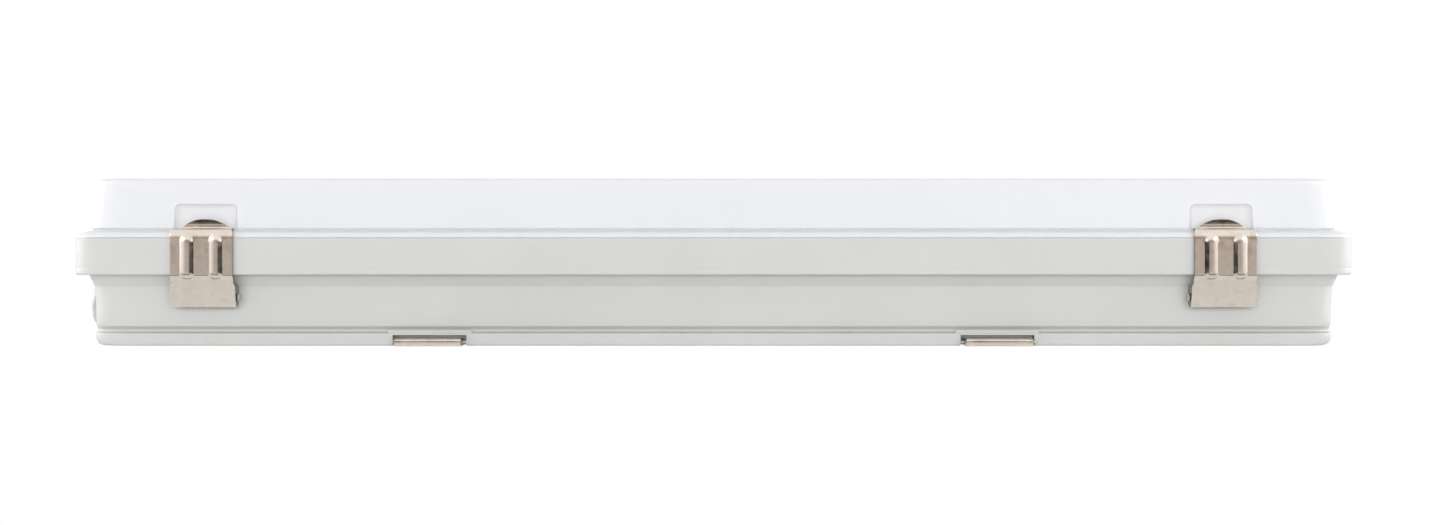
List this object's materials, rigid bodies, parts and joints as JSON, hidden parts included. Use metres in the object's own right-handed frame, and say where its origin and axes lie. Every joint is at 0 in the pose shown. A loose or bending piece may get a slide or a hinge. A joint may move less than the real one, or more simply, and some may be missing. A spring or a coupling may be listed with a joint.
{
  "type": "vapor tight light fixture",
  "caption": "Sealed linear light fixture: long housing and opal lens joined over a seal by swinging steel latches, with a gear tray inside and ceiling brackets at the back.",
  "frame": {"origin": "centre of the flat back of the housing, the face that goes against the ceiling", "axes": "+X along the length towards the blanking plug, +Z from the back to the lens, -Y towards the front latches"},
  "size_m": [0.6628, 0.1336, 0.086],
  "materials": {
    "housing": "fine satin moulded polycarbonate, light grey",
    "lens": "opal polycarbonate, satin white",
    "latch": "bright stainless sheet, softly polished",
    "bracket": "bright stainless sheet",
    "screws": "zinc plated steel",
    "tray": "white powder coat",
    "board": "white solder mask",
    "driver": "white moulded case",
    "terminal": "natural nylon",
    "nylon_white": "white nylon",
    "nylon_grey": "grey nylon",
    "seal": "dark closed-cell foam and rubber",
    "wire_brown": "brown insulation",
    "wire_blue": "blue insulation",
    "wire_green": "green and yellow insulation",
    "wire_red": "red insulation",
    "wire_black": "black insulation"
  },
  "bodies": {
    "fixture": {"housing": "housing", "seal": "seal", "lens": "lens", "gear_tray": "tray", "driver": "driver", "terminal_block": "terminal", "terminal_screw": "screws", "earth_screw": "screws", "driver_screw_left": "screws", "driver_screw_right": "screws", "light_board_front": "board", "light_board_back": "board", "bracket_left": "bracket", "bracket_right": "bracket", "live_wire": "wire_brown", "neutral_wire": "wire_blue", "earth_wire": "wire_green", "board_lead_front": "wire_red", "board_lead_back": "wire_black", "board_link": "wire_blue", "gland_washer": "seal", "gland_body": "nylon_grey", "gland_sleeve": "seal", "gland_nut": "nylon_grey", "gland_locknut": "nylon_grey", "plug_washer": "seal", "blanking_plug": "nylon_grey", "plug_locknut": "nylon_grey", "latch_pin_front_left": "screws", "board_screw_front_left": "screws", "latch_pin_front_right": "screws", "board_screw_front_right": "screws", "latch_pin_back_left": "screws", "board_screw_back_left": "screws", "latch_pin_back_right": "screws", "board_screw_back_right": "screws"},
    "latch_front_left": {"latch_front_left": "latch"},
    "latch_front_right": {"latch_front_right": "latch"},
    "latch_back_left": {"latch_back_left": "latch"},
    "latch_back_right": {"latch_back_right": "latch"},
    "turnlock_left": {"turnlock_left": "nylon_white"},
    "turnlock_right": {"turnlock_right": "nylon_white"}
  },
  "joints": [
    {"name": "latch_front_left_swing", "type": "hinge", "parent": "fixture", "child": "latch_front_left", "pos_m": [-0.26, -0.0572, 0.025], "axis": [1, 0, 0], "range_deg": [0, 95]},
    {"name": "latch_front_right_swing", "type": "hinge", "parent": "fixture", "child": "latch_front_right", "pos_m": [0.26, -0.0572, 0.025], "axis": [1, 0, 0], "range_deg": [0, 95]},
    {"name": "latch_back_left_swing", "type": "hinge", "parent": "fixture", "child": "latch_back_left", "pos_m": [-0.26, 0.0572, 0.025], "axis": [-1, 0, 0], "range_deg": [0, 95]},
    {"name": "latch_back_right_swing", "type": "hinge", "parent": "fixture", "child": "latch_back_right", "pos_m": [0.26, 0.0572, 0.025], "axis": [-1, 0, 0], "range_deg": [0, 95]},
    {"name": "turnlock_left_turn", "type": "hinge", "parent": "fixture", "child": "turnlock_left", "pos_m": [-0.28, 0, 0.05], "axis": [0, 0, 1], "range_deg": [0, 90]},
    {"name": "turnlock_right_turn", "type": "hinge", "parent": "fixture", "child": "turnlock_right", "pos_m": [0.28, 0, 0.05], "axis": [0, 0, 1], "range_deg": [0, 90]}
  ]
}
